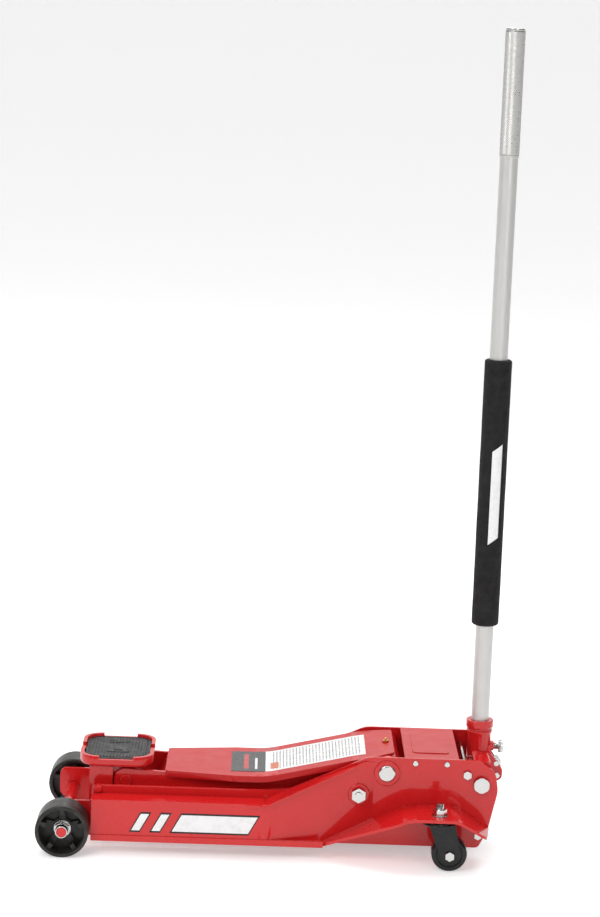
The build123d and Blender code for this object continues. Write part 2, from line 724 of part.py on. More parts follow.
# ---------------------------------------------------------------- saddle
def saddle_bracket():
    """Cast bracket under the saddle: nose block, pivot tongue and the socket for the saddle's stem."""
    x, z = saddle_pivot_x, saddle_pivot_z
    front = level_front_x - 14
    under = saddle_top - saddle_depth - side_gap
    nose_rear = x - 19 - side_gap - 1
    nose_line = outline([(front, level_front_z - 12), (front, under), (nose_rear, under),
                         (nose_rear, level_front_z - 12)], [8, 3, 1, 8])
    nose = side(nose_line, -bracket_front_half, bracket_front_half)
    inner = arm_side_outer - arm_side_thick - side_gap
    tongue = side(outline([(front + 4, level_front_z - 8), (front + 4, under), (x + 14, under),
                           (x + 17, z), (x, z - 17), (nose_rear, level_front_z - 12)],
                          [2, 2, 6, 8, 10, 2]), -inner, inner)
    head = rod((saddle_x, 0, z), (saddle_x, 0, under), 30)
    bracket = nose + tongue + head
    bracket -= rod_y(x, z, saddle_pin_radius + running, -90, 90)
    bracket -= rod_y(level_front_x, level_front_z, level_pin_radius, -90, 90)
    bracket -= rod((saddle_x, 0, z - saddle_pin_radius - 12), (saddle_x, 0, under + 1), saddle_stem_radius)
    return bracket


def level_pin():
    """Pin through the bracket's foot; its ends carry the levelling rods."""
    half = rod_inner + rod_thick + 4
    pin = rod_y(level_front_x, level_front_z, level_pin_radius, -half, half)
    return pin


def saddle_tray():
    """Round-cornered saddle with four raised corner lips and a turned stem underneath."""
    base_z = saddle_top - saddle_depth
    rim_z = saddle_top - saddle_notch
    tray = plan(RectangleRounded(saddle_length, saddle_width, saddle_corner), base_z, saddle_top)
    tray = Pos(saddle_x, 0, 0) * tray
    pocket = RectangleRounded(saddle_length - 2 * saddle_wall, saddle_width - 2 * saddle_wall,
                              saddle_corner - saddle_wall)
    tray -= Pos(saddle_x, 0, 0) * plan(pocket, base_z + saddle_floor, saddle_top + 1)
    gap_x, gap_y = 54.0, 22.0
    tray -= box(saddle_x - gap_x / 2, saddle_x + gap_x / 2, -100, 100, rim_z, saddle_top + 1)
    tray -= box(saddle_x - 100, saddle_x + 100, -gap_y / 2, gap_y / 2, rim_z, saddle_top + 1)
    low_edges = tray.faces().sort_by(Axis.Z)[0].edges()
    tray = fillet(low_edges, 5)
    stem_end = saddle_pivot_z + saddle_pin_radius + 2
    return tray + rod((saddle_x, 0, stem_end), (saddle_x, 0, base_z), saddle_stem_radius - running)


def saddle_pad():
    """Rubber pad that drops into the saddle."""
    base_z = saddle_top - saddle_depth + saddle_floor
    shrink = 2 * (saddle_wall + pad_gap)
    corner = saddle_corner - saddle_wall - pad_gap
    pad = RectangleRounded(saddle_length - shrink, saddle_width - shrink, corner)
    return Pos(saddle_x, 0, 0) * plan(pad, base_z, saddle_top - pad_sunk)


def level_rod():
    """Flat levelling rod on the +Y side, eyed at both ends."""
    run = Vector(level_rear_x - level_front_x, 0, level_rear_z - level_front_z)
    lean = math.degrees(math.atan2(run.Z, run.X))
    bar = Pos(run.length / 2, 0, 0) * Box(run.length, rod_thick, rod_depth)
    bar += rod_y(0, 0, rod_depth / 2 + 3, -rod_thick / 2, rod_thick / 2)
    bar += rod_y(run.length, 0, rod_depth / 2 + 3, -rod_thick / 2, rod_thick / 2)
    for x in (0, run.length):
        bar -= rod_y(x, 0, level_pin_radius + running, -rod_thick, rod_thick)
    middle = rod_inner + rod_thick / 2
    return Pos(level_front_x, middle, level_front_z) * (Rot(0, -lean, 0) * bar)


# ---------------------------------------------------------------- handle socket and handle
def handle_socket():
    """Socket tube with its collar, the yoke that straddles the power unit and the rear striker ears."""
    x, z = socket_x, socket_pivot_z
    tube = rod((x, 0, socket_bottom), (x, 0, socket_top), socket_radius)
    collar = rod((x, 0, socket_top - 12), (x, 0, socket_top), socket_radius + 3)
    collar = fillet(collar.edges().filter_by(GeomType.CIRCLE), 1.5)
    ridge = rod((x, 0, socket_top - 21), (x, 0, socket_top - 16), socket_radius + 1.5)
    beam = box(x - 12, x + 15, -cheek_outer, cheek_outer, socket_bottom, socket_bottom + 14)
    beam = fillet(beam.edges().filter_by(Axis.Y), 3)
    cheek_top, cheek_low = socket_bottom + 8, z - 14
    cheek_line = [(x - 12, cheek_top), (x + 15, cheek_top), (x + 15, cheek_low), (x - 12, cheek_low)]
    cheek = side(outline(cheek_line, [0, 0, 12, 11]), cheek_outer - cheek_thick, cheek_outer)
    ear_points = [(x + 11, 160), (x + 18, 160), (x + 20, 148), (striker_x + 9, striker_z + 10),
                  (striker_x + 9, striker_z - 9), (striker_x - 9, striker_z - 9), (x + 15, socket_bottom),
                  (x + 11, socket_bottom)]
    ear = side(outline(ear_points, [0, 2, 6, 6, 9, 9, 4, 0]), ear_inner, ear_inner + ear_thick)
    boss = rod((x, 0, thumb_z), (x + socket_radius + 5, 0, thumb_z), thumb_boss_radius)
    socket = tube + collar + ridge + beam + cheek + left(cheek) + ear + left(ear) + boss
    socket -= rod((x, 0, socket_bottom - 1), (x, 0, socket_top + 1), handle_radius + free)
    socket -= rod((x, 0, thumb_z), (thumb_end_x, 0, thumb_z), thumb_shaft_radius + running)
    bores = ((x, z, pivot_bolt_radius + running), (striker_x, striker_z, striker_radius),
             (roller_x, roller_z, roller_pin_radius))
    for bore_x, bore_z, radius in bores:
        socket -= rod_y(bore_x, bore_z, radius, -plate_outer, plate_outer)
    return socket


def striker_pin():
    """Pin across the ears that pushes the pump plunger down."""
    half = ear_inner + ear_thick + 3
    pin = rod_y(striker_x, striker_z, striker_radius - running, -half, half)
    return chamfer(pin.edges().filter_by(GeomType.CIRCLE), 0.8)


def guide_roller():
    """Plated roller between the ears, on its own short pin."""
    half = ear_inner - free
    roller = rod_y(roller_x, roller_z, roller_radius, -half, half)
    roller = fillet(roller.edges().filter_by(GeomType.CIRCLE), 1.2)
    end = ear_inner + ear_thick
    pin = rod_y(roller_x, roller_z, roller_pin_radius - running, -end, end)
    return roller + pin


def thumb_screw():
    """Clamp screw that locks the handle in its socket."""
    tip = socket_x + handle_radius + free
    head_start = thumb_end_x - thumb_head_length
    shaft = rod((tip, 0, thumb_z), (head_start, 0, thumb_z), thumb_shaft_radius)
    head = rod((head_start, 0, thumb_z), (thumb_end_x, 0, thumb_z), thumb_head_radius)
    notches = 12
    for step in range(notches):
        angle = 2 * math.pi * step / notches
        y, z = 12.2 * math.cos(angle), thumb_z + 12.2 * math.sin(angle)
        head -= rod((head_start - 1, y, z), (thumb_end_x + 1, y, z), 2.2)
    return shaft + head


def handle_tube():
    """Handle tube, with a slightly swollen knurled stretch at the top."""
    end = handle_top - cap_height
    tube = rod((socket_x, 0, handle_bottom), (socket_x, 0, end), handle_radius)
    knurl = rod((socket_x, 0, knurl_bottom), (socket_x, 0, end), knurl_radius)
    knurl = chamfer(knurl.edges().filter_by(GeomType.CIRCLE), knurl_rise - running)
    tube += knurl
    bore = rod((socket_x, 0, handle_bottom - 1), (socket_x, 0, handle_top + 1), handle_radius - handle_wall)
    return tube - bore


def handle_cap():
    """Plug that closes the top of the handle."""
    end = handle_top - cap_height
    head = rod((socket_x, 0, end), (socket_x, 0, handle_top), knurl_radius)
    head = fillet(head.faces().sort_by(Axis.Z)[-1].edges(), 1.5)
    return head + rod((socket_x, 0, end - 20), (socket_x, 0, end), handle_radius - handle_wall)


def foam_grip():
    """Foam sleeve round the middle of the handle."""
    grip = rod((socket_x, 0, grip_bottom), (socket_x, 0, grip_top), grip_radius)
    grip = fillet(grip.edges().filter_by(GeomType.CIRCLE), 3)
    return grip - rod((socket_x, 0, grip_bottom - 1), (socket_x, 0, grip_top + 1), handle_radius)


def handle_coupler():
    """Forked plug in the foot of the handle, with the cross pin that turns the release ball."""
    outer = handle_radius - handle_wall
    inner = release_ball_radius + 0.6
    plug = rod((socket_x, 0, socket_pivot_z - 4), (socket_x, 0, handle_bottom + 30), outer)
    plug -= rod((socket_x, 0, 0), (socket_x, 0, handle_bottom + 8), inner)
    span = 4.0
    plug -= box(socket_x - 30, socket_x - span, -30, 30, 0, handle_bottom)
    plug -= box(socket_x + span, socket_x + 30, -30, 30, 0, handle_bottom)
    return plug + rod_y(socket_x, socket_pivot_z, release_pin_radius, -outer + 0.3, outer - 0.3)


# ---------------------------------------------------------------- wheels
def front_wheel():
    """Cast front wheel on the +Y side: thick tread, dished web of five spokes and a long hub."""
    inner_y = front_wheel_face - front_wheel_width
    outer_y = front_wheel_face
    rim_inner = front_wheel_radius - front_rim
    tread = rod_y(0, 0, front_wheel_radius, inner_y, outer_y)
    tread = fillet(tread.edges().filter_by(GeomType.CIRCLE), 3.0)
    tread -= rod_y(0, 0, rim_inner, inner_y - 1, outer_y + 1)
    web = rod_y(0, 0, rim_inner, inner_y + 14, inner_y + 20)
    wheel = tread + web + rod_y(0, 0, front_hub_radius + 1, inner_y, front_hub_face)
    foot = front_hub_radius - 2
    for step in range(front_spokes):
        spoke = Plane.XZ.offset(-front_hub_face) * outline([(-5.5, foot), (5.5, foot), (3.5, rim_inner + 1),
                                                            (-3.5, rim_inner + 1)])
        rib = extrude(spoke, front_hub_face - inner_y - 4)
        brace = box(-3.5, 3.5, front_hub_face - 1, outer_y - 6, rim_inner - 9, rim_inner + 1)
        wheel += Rot(0, 360 / front_spokes * step, 0) * (rib + brace)
    wheel -= rod_y(0, 0, front_axle_radius + 3, inner_y - 1, outer_y + 1)
    return Pos(front_axle_x, 0, front_axle_z) * wheel


def front_bush():
    """Plated bearing sleeve pressed into the front wheel."""
    inner_y = front_wheel_face - front_wheel_width
    x, z = front_axle_x, front_axle_z
    sleeve = rod_y(x, z, front_axle_radius + 3, inner_y, front_hub_face)
    return sleeve - rod_y(x, z, front_axle_radius + running, inner_y - 1, front_hub_face + 1)


def kingpin():
    """Caster kingpin up through the flange, with its washer and nut."""
    x, y = caster_x, caster_y
    head_low = fork_top - crown_thick - 4
    pin = rod((x, y, head_low), (x, y, flange_top + 20), king_radius - running)
    pin += rod((x, y, head_low), (x, y, fork_top - crown_thick - free), 9)
    nut = hexagon((x, y, flange_top + 2), (x, y, flange_top + 11), king_nut)
    washer = rod((x, y, flange_top), (x, y, flange_top + 2), 12.5)
    return pin + nut + washer


def caster_race():
    """Plated bearing race clamped under the flange."""
    base = flange_top - flange_thick
    ring = rod((caster_x, caster_y, base - race_thick), (caster_x, caster_y, base), race_radius)
    return ring - rod((caster_x, caster_y, 0), (caster_x, caster_y, plate_top), king_radius)


def caster_fork():
    """Pressed fork: round crown that turns under the race, and two legs trailing to the axle."""
    x, y, axle_x, axle_z = caster_x, caster_y, caster_axle_x, caster_axle_z
    inner = caster_wheel_width / 2 + fork_gap
    crown = rod((x, y, fork_top - crown_thick), (x, y, fork_top), crown_radius)
    crown = fillet(crown.edges().filter_by(GeomType.CIRCLE), 1.5)
    waist = axle_z + 20
    leg = outline([(x - 17, fork_top - 1), (axle_x + 8, fork_top - 1), (axle_x + 14, waist),
                   (axle_x + 10, axle_z - 11), (axle_x - 10, axle_z - 11), (axle_x - 24, waist)],
                  [2, 4, 14, 9, 9, 14])
    near = side(leg, y + inner, y + inner + fork_leg_thick)
    far = side(leg, y - inner - fork_leg_thick, y - inner)
    bridge = box(x - 15, x + 21, y - inner - 1, y + inner + 1, fork_top - crown_thick, fork_top - 1)
    fork = crown + near + far + bridge
    fork -= rod((x, y, 0), (x, y, plate_top), king_radius + running)
    return fork - rod_y(axle_x, axle_z, caster_axle_radius, 0, 2 * caster_y)


def caster_axle():
    """Caster wheel's axle bolt, head outside and nut inside."""
    x, z = caster_axle_x, caster_axle_z
    half = caster_wheel_width / 2 + fork_gap + fork_leg_thick
    bolt = rod_y(x, z, caster_axle_radius - running, caster_y - half, caster_y + half)
    bolt += hexagon((x, caster_y + half, z), (x, caster_y + half + 5, z), 13.5)
    return bolt + hexagon((x, caster_y - half - 4, z), (x, caster_y - half, z), 13)


def caster_wheel():
    """Solid caster wheel with a raised hub."""
    half = caster_wheel_width / 2
    wheel = rod_y(0, 0, caster_wheel_radius, -half, half)
    wheel = fillet(wheel.edges().filter_by(GeomType.CIRCLE), 5)
    for y in (-1, 1):
        groove = rod_y(0, 0, caster_wheel_radius - 8, half - 2, half + 1)
        groove -= rod_y(0, 0, 10, half - 3, half + 2)
        wheel -= groove if y > 0 else left(groove)
    wheel -= rod_y(0, 0, caster_axle_radius + running, -half - 1, half + 1)
    return Pos(caster_axle_x, caster_y, caster_axle_z) * wheel


# ---------------------------------------------------------------- export
def nodes():
    """Every piece of the jack by name."""
    made = {
        "front_axle": front_axle(),
        "front_axle_nuts": pair(front_axle_nut()),
        "front_spreader": front_spreader(),
        "rear_top_cover": rear_top_cover(),
        "main_pivot_shaft": main_shaft(),
        "rod_pivot_bolts": pair(rod_bolt()),
        "socket_pivot_bolts": pair(socket_bolt()),
        "tie_rod": tie_rod(),
        "hydraulic_block": hydraulic_block(),
        "cylinder_tube": cylinder_tube(),
        "cylinder_gland": cylinder_gland(),
        "reservoir_shell": reservoir_shell(),
        "kingpins": pair(kingpin()),
        "caster_races": pair(caster_race()),
        "arm_cover": arm_cover(),
        "arm_hub": arm_hub(),
        "arm_cross_plate": arm_cross_plate(),
        "lug_pin": lug_pin(),
        "saddle_pivot_pin": saddle_pin(),
        "grease_fitting": grease_fitting(),
        "arm_label": arm_label(),
        "saddle_bracket": saddle_bracket(),
        "level_pin": level_pin(),
        "saddle_tray": saddle_tray(),
        "saddle_pad": saddle_pad(),
        "ram_rod": ram_rod(),
        "ram_crosshead": ram_crosshead(),
        "return_springs": pair(return_spring()),
        "handle_socket": handle_socket(),
        "striker_pin": striker_pin(),
        "guide_roller": guide_roller(),
        "handle_tube": handle_tube(),
        "handle_cap": handle_cap(),
        "foam_grip": foam_grip(),
        "handle_coupler": handle_coupler(),
        "release_stem": release_stem(),
        "pump_plunger": pump_plunger(),
        "plunger_spring": plunger_spring(),
        "thumb_screw": thumb_screw(),
    }
    bosses = (pivot_boss(main_pivot_x, main_pivot_z, main_shaft_radius, main_boss_radius, main_boss_height),
              pivot_boss(level_rear_x, level_rear_z, level_pin_radius, rod_boss_radius, rod_boss_height))
    made["pivot_bosses"] = Compound(children=[solid for boss in bosses for solid in pair(boss).solids()])
    screws = [solid for x in cover_screw_x for solid in pair(cover_screw(x)).solids()]
    made["cover_screws"] = Compound(children=screws)
    bolts = [solid for x, z in side_bolt_places for solid in pair(side_bolt(x, z)).solids()]
    made["side_bolts"] = Compound(children=bolts)
    for name, make in (("side_plate", side_plate), ("side_skirt", side_skirt), ("arm_side", arm_side),
                       ("level_rod", level_rod), ("front_wheel", front_wheel), ("front_bush", front_bush),
                       ("caster_fork", caster_fork), ("caster_axle", caster_axle),
                       ("caster_wheel", caster_wheel)):
        part = make()
        made[name + "_right"] = part
        made[name + "_left"] = left(part)
    return made


os.makedirs("parts", exist_ok=True)
for name, part in nodes().items():
    raised = [Pos(0, 0, stand) * solid for solid in part.solids()]
    export_step(raised[0] if len(raised) == 1 else Compound(children=raised), f"parts/{name}.step")
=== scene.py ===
import json
import math

import bmesh
import bpy
from mathutils import Matrix, Vector, noise


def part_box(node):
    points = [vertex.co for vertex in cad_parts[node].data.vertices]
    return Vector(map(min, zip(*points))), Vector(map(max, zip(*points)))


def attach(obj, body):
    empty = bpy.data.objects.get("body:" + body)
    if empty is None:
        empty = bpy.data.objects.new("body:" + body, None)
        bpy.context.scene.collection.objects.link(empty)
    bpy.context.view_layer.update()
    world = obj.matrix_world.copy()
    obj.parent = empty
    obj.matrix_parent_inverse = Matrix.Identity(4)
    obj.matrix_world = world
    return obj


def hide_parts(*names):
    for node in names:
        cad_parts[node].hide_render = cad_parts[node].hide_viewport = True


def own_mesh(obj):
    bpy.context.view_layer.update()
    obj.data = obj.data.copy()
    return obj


# Looks of a hydraulic floor jack, in metres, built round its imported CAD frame.
# X runs from the saddle to the handle, Z is up, and -Y is the side that the camera sees.

MM = 0.001
RED = (0.60, 0.013, 0.014)
SKIRT_FACE = 0.122          # mid-plane to the skirt wall's outer face
STRIPE_SPANS = ((-0.160, -0.018), (-0.192, -0.157), (-0.224, -0.189))
STRIPE_BOTTOM, STRIPE_TOP = 0.016, 0.049    # above the skirt's lower edge
BORDER_SIDE, BORDER_EDGE = 0.0035, 0.0028   # dark border round a stripe, at its ends and along it
KNURL_LENGTH, KNURL_RELIEF = 0.190, 0.00048
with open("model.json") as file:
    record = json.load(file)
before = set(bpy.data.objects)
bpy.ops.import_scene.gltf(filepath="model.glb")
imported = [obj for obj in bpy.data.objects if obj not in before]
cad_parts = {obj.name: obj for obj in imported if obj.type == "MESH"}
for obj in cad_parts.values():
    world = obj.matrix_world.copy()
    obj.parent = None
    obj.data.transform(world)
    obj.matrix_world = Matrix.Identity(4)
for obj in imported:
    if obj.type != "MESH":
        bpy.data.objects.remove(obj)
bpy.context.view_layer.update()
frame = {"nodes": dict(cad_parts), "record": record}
nodes = frame["nodes"]


# ---------------------------------------------------------------- materials
def new_material(name, color, roughness, metallic=0.0):
    """A Principled material, with its nodes, links and shader."""
    mat = bpy.data.materials.new(name)
    mat.use_nodes = True
    tree = mat.node_tree
    shader = tree.nodes["Principled BSDF"]
    shader.inputs["Base Color"].default_value = (*color, 1)
    shader.inputs["Roughness"].default_value = roughness
    shader.inputs["Metallic"].default_value = metallic
    return mat, tree, shader


def add(tree, kind, **inputs):
    """A node with its inputs set by name, spaces written as underscores."""
    node = tree.nodes.new(kind)
    for key, value in inputs.items():
        node.inputs[key.replace("_", " ")].default_value = value
    return node


def coordinates(tree):
    return add(tree, "ShaderNodeTexCoord").outputs["Object"]


def noise_value(tree, scale, detail=3.0, roughness=0.5, stretch=None):
    """Noise in object space, in cells per metre, optionally stretched along an axis."""
    source = coordinates(tree)
    if stretch:
        mapping = add(tree, "ShaderNodeMapping", Scale=stretch)
        tree.links.new(source, mapping.inputs["Vector"])
        source = mapping.outputs["Vector"]
    node = add(tree, "ShaderNodeTexNoise", Scale=scale, Detail=detail, Roughness=roughness)
    tree.links.new(source, node.inputs["Vector"])
    return node.outputs["Fac"]


def ramp(tree, value, stops):
    """A colour ramp over a value: stops are (position, colour or grey)."""
    node = tree.nodes.new("ShaderNodeValToRGB")
    band = node.color_ramp
    while len(band.elements) < len(stops):
        band.elements.new(0.5)
    for element, (place, tone) in zip(band.elements, stops):
        element.position = place
        element.color = (*tone, 1) if isinstance(tone, tuple) else (tone, tone, tone, 1)
    tree.links.new(value, node.inputs["Fac"])
    return node.outputs["Color"]


def mix(tree, factor, first, second):
    """Two colours mixed by a factor; each may be a socket or a fixed colour."""
    node = tree.nodes.new("ShaderNodeMix")
    node.data_type = "RGBA"
    for socket, value in ((node.inputs[0], factor), (node.inputs[6], first), (node.inputs[7], second)):
        if isinstance(value, bpy.types.NodeSocket):
            tree.links.new(value, socket)
        elif isinstance(value, tuple):
            socket.default_value = (*value, 1)
        else:
            socket.default_value = value
    return node.outputs[2]


def bump(tree, shader, height, distance, strength=1.0):
    """Bump from a height value."""
    node = add(tree, "ShaderNodeBump", Strength=strength, Distance=distance)
    tree.links.new(height, node.inputs["Height"])
    tree.links.new(node.outputs["Normal"], shader.inputs["Normal"])


def axis_value(tree, axis):
    """One object coordinate, in metres."""
    split = tree.nodes.new("ShaderNodeSeparateXYZ")
    tree.links.new(coordinates(tree), split.inputs["Vector"])
    return split.outputs[axis]


def math_value(tree, operation, first, second=0.0, third=0.0):
    """A maths node; each operand may be a socket or a number."""
    node = tree.nodes.new("ShaderNodeMath")
    node.operation = operation
    for socket, value in zip(node.inputs, (first, second, third)):
        if isinstance(value, bpy.types.NodeSocket):
            tree.links.new(value, socket)
        else:
            socket.default_value = value
    return node.outputs[0]


def between(tree, value, low, high):
    """1 where a value lies between two limits, else 0."""
    above = math_value(tree, "GREATER_THAN", value, low)
    below = math_value(tree, "LESS_THAN", value, high)
    return math_value(tree, "MULTIPLY", above, below)


def painted(name, color, dark, roughness, coat, shine):
    """Powder coat: fine orange peel, slight colour drift and uneven gloss."""
    mat, tree, shader = new_material(name, color, roughness)
    drift = mix(tree, noise_value(tree, 9, 4), color, dark)
    tree.links.new(drift, shader.inputs["Base Color"])
    gloss = ramp(tree, noise_value(tree, 35, 5, 0.6), [(0.3, roughness - 0.05), (0.75, roughness + 0.10)])
    tree.links.new(gloss, shader.inputs["Roughness"])
    shader.inputs["Specular IOR Level"].default_value = shine
    shader.inputs["Coat Weight"].default_value = coat
    shader.inputs["Coat Roughness"].default_value = 0.05
    bump(tree, shader, noise_value(tree, 620, 2), 0.00006, 0.3)
    return mat


def metal(name, color, roughness, scale=250, stretch=None, bumpy=0.00003):
    """Plated or machined metal with fine surface grain and slight clouding."""
    mat, tree, shader = new_material(name, color, roughness, 1.0)
    cloud = noise_value(tree, 40, 4)
    darker = tuple(c * 0.78 for c in color)
    tree.links.new(mix(tree, cloud, color, darker), shader.inputs["Base Color"])
    grain = noise_value(tree, scale, 3, 0.6, stretch)
    gloss = ramp(tree, grain, [(0.25, roughness * 0.7), (0.8, roughness * 1.45)])
    tree.links.new(gloss, shader.inputs["Roughness"])
    bump(tree, shader, grain, bumpy, 0.5)
    return mat


def plastic(name, color, lighter, roughness, grain=1500, depth=0.00008, shine=0.3):
    """Moulded plastic or rubber: fine grain and scuffs."""
    mat, tree, shader = new_material(name, color, roughness)
    scuff = ramp(tree, noise_value(tree, 70, 6, 0.65), [(0.45, 0.0), (0.72, 1.0)])
    tree.links.new(mix(tree, scuff, color, lighter), shader.inputs["Base Color"])
    gloss = ramp(tree, noise_value(tree, 90, 4), [(0.3, roughness - 0.08), (0.7, roughness + 0.12)])
    tree.links.new(gloss, shader.inputs["Roughness"])
    shader.inputs["Specular IOR Level"].default_value = shine
    bump(tree, shader, noise_value(tree, grain, 2), depth, 0.4)
    return mat


def brushed_tube(name, color, roughness):
    """Drawn aluminium with a clear satin finish: fine lines along its length and a soft diffuse body."""
    mat, tree, shader = new_material(name, color, roughness, 0.55)
    lines = noise_value(tree, 900, 3, 0.6, (1, 1, 0.05))
    tree.links.new(mix(tree, lines, color, tuple(c * 0.84 for c in color)), shader.inputs["Base Color"])
    gloss = ramp(tree, noise_value(tree, 30, 4), [(0.3, roughness - 0.06), (0.75, roughness + 0.10)])
    tree.links.new(gloss, shader.inputs["Roughness"])
    bump(tree, shader, lines, 0.00003, 0.5)
    return mat


def knurled_metal():
    """The same metal with painted shade darkening the hollows of the knurling."""
    color = (0.64, 0.635, 0.62)
    mat, tree, shader = new_material("knurled", color, 0.34, 0.75)
    x, y, z = (axis_value(tree, axis) for axis in "XYZ")
    low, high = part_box("handle_cap")
    middle_x = (low.x + high.x) / 2
    span = math_value(tree, "ADD", math_value(tree, "POWER", math_value(tree, "SUBTRACT", x, middle_x), 2.0),
                      math_value(tree, "MULTIPLY", y, y))
    radius = math_value(tree, "SQRT", span)
    base = (high.x - low.x) / 2
    hollow = math_value(tree, "DIVIDE", math_value(tree, "SUBTRACT", radius, base), 0.0005)
    # painted shade: the knurl's hollows are darkened to a near-black grey, and random flecks are mixed in
    # below
    painted_hollow_shade = ramp(tree, hollow, [(0.15, (0.22, 0.215, 0.21)), (0.75, color)])
    tone = mix(tree, noise_value(tree, 500, 3), painted_hollow_shade, (0.42, 0.415, 0.41))
    fleck = ramp(tree, noise_value(tree, 350, 2), [(0.42, 0.0), (0.58, 0.55)])
    tree.links.new(mix(tree, fleck, painted_hollow_shade, tone), shader.inputs["Base Color"])
    gloss = ramp(tree, noise_value(tree, 300, 2), [(0.3, 0.24), (0.7, 0.45)])
    tree.links.new(gloss, shader.inputs["Roughness"])
    return mat


def part_painted_bolts():
    """Plated bolts, of which the ones towards the saddle were painted over with the chassis."""
    mat, tree, shader = new_material("part_painted_bolts", (0.74, 0.735, 0.72), 0.2)
    painted_over = math_value(tree, "LESS_THAN", axis_value(tree, "X"), 0.0)
    cloud = mix(tree, noise_value(tree, 60, 4), (0.60, 0.595, 0.58), (0.47, 0.465, 0.455))
    tree.links.new(mix(tree, painted_over, cloud, RED), shader.inputs["Base Color"])
    tree.links.new(math_value(tree, "SUBTRACT", 1.0, painted_over), shader.inputs["Metallic"])
    bump(tree, shader, noise_value(tree, 400, 3), 0.00004, 0.4)
    return mat


def label_film():
    """Printed film: a black panel in front, then a white one with rows of grey bars and an orange patch."""
    mat, tree, shader = new_material("label_film", (0.8, 0.8, 0.8), 0.3)
    low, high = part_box("arm_label")
    x, y = axis_value(tree, "X"), axis_value(tree, "Y")
    panel_end = low.x + 0.055
    white = mix(tree, noise_value(tree, 60, 4), (0.80, 0.80, 0.79), (0.71, 0.71, 0.70))
    row = math_value(tree, "FRACT", math_value(tree, "MULTIPLY", x, 190.0))
    row_ink = math_value(tree, "LESS_THAN", row, 0.34)
    words = ramp(tree, noise_value(tree, 1.0, 2, 0.5, (60, 420, 1)), [(0.40, 0.0), (0.42, 1.0)])
    ink = math_value(tree, "MULTIPLY", row_ink, words)
    inside = math_value(tree, "MULTIPLY", between(tree, x, panel_end + 0.012, high.x - 0.006),
                        between(tree, y, low.y + 0.007, high.y - 0.006))
    ink = math_value(tree, "MULTIPLY", ink, inside)
    printed = mix(tree, ink, white, (0.25, 0.25, 0.26))
    patch = math_value(tree, "MULTIPLY", between(tree, x, panel_end + 0.008, panel_end + 0.021),
                       between(tree, y, low.y + 0.010, low.y + 0.042))
    printed = mix(tree, patch, printed, (0.55, 0.13, 0.05))
    bars = math_value(tree, "MULTIPLY", between(tree, x, low.x + 0.020, low.x + 0.028),
                      between(tree, y, low.y + 0.014, high.y - 0.014))
    thin = math_value(tree, "MULTIPLY", between(tree, x, low.x + 0.038, low.x + 0.042),
                      between(tree, y, low.y + 0.014, high.y - 0.034))
    black = mix(tree, bars, (0.014, 0.014, 0.015), (0.42, 0.02, 0.02))
    black = mix(tree, thin, black, (0.7, 0.7, 0.7))
    whole = mix(tree, math_value(tree, "LESS_THAN", x, panel_end), printed, black)
    tree.links.new(whole, shader.inputs["Base Color"])
    gloss = ramp(tree, noise_value(tree, 90, 4), [(0.3, 0.22), (0.7, 0.38)])
    tree.links.new(gloss, shader.inputs["Roughness"])
    bump(tree, shader, noise_value(tree, 900, 2), 0.00002, 0.4)
    return mat


def make_materials():
    """Every material by its slot name."""
    made = {
        "red_paint": painted("red_paint", RED, (0.52, 0.008, 0.009), 0.28, 0.75, 0.12),
        "red_satin": painted("red_satin", (0.50, 0.010, 0.011), (0.45, 0.008, 0.009), 0.38, 0.25, 0.15),
        "plated_steel": metal("plated_steel", (0.60, 0.595, 0.58), 0.15),
        "chrome_rod": metal("chrome_rod", (0.86, 0.86, 0.87), 0.08),
        "cast_block": metal("cast_block", (0.13, 0.13, 0.135), 0.55, 600, None, 0.0003),
        "dark_paint": plastic("dark_paint", (0.006, 0.006, 0.007), (0.014, 0.014, 0.014), 0.22, 700),
        "handle_metal": brushed_tube("handle_metal", (0.63, 0.625, 0.61), 0.42),
        "knurled": knurled_metal(),
        "machined_steel": metal("machined_steel", (0.55, 0.55, 0.55), 0.3),
        "foam": plastic("foam", (0.008, 0.007, 0.008), (0.014, 0.013, 0.014), 0.75, 2600, 0.00025),
        "pad_rubber": plastic("pad_rubber", (0.008, 0.008, 0.008), (0.022, 0.022, 0.021), 0.42, 1300, 0.00012),
        "wheel_plastic": plastic("wheel_plastic", (0.016, 0.015, 0.014), (0.040, 0.038, 0.035), 0.36, 900),
        "caster_rubber": plastic("caster_rubber", (0.006, 0.006, 0.007), (0.016, 0.016, 0.016), 0.24, 900),
        "part_painted_bolts": part_painted_bolts(),
        "brass": metal("brass", (0.78, 0.52, 0.18), 0.25),
        "label_film": label_film(),
        "decal_white": plastic("decal_white", (0.80, 0.80, 0.80), (0.70, 0.70, 0.70), 0.28, 900, 0.00002),
        "decal_black": plastic("decal_black", (0.012, 0.012, 0.012), (0.03, 0.03, 0.03), 0.30, 900, 0.00002),
    }
    return made


materials = make_materials()


def paint_frame():
    """Gives each CAD node the material of its slot."""
    slot_of = {s["node"]: s["material_slot"] for s in frame["record"]["subparts"]}
    finish_of = {"side_bolts": "part_painted_bolts", "saddle_pivot_pin": "red_paint"}
    for name, obj in nodes.items():
        mat = materials[finish_of.get(name, slot_of[name])]
        if not obj.material_slots:
            obj.data.materials.append(mat)
        for holder in obj.material_slots:
            holder.material = mat


paint_frame()


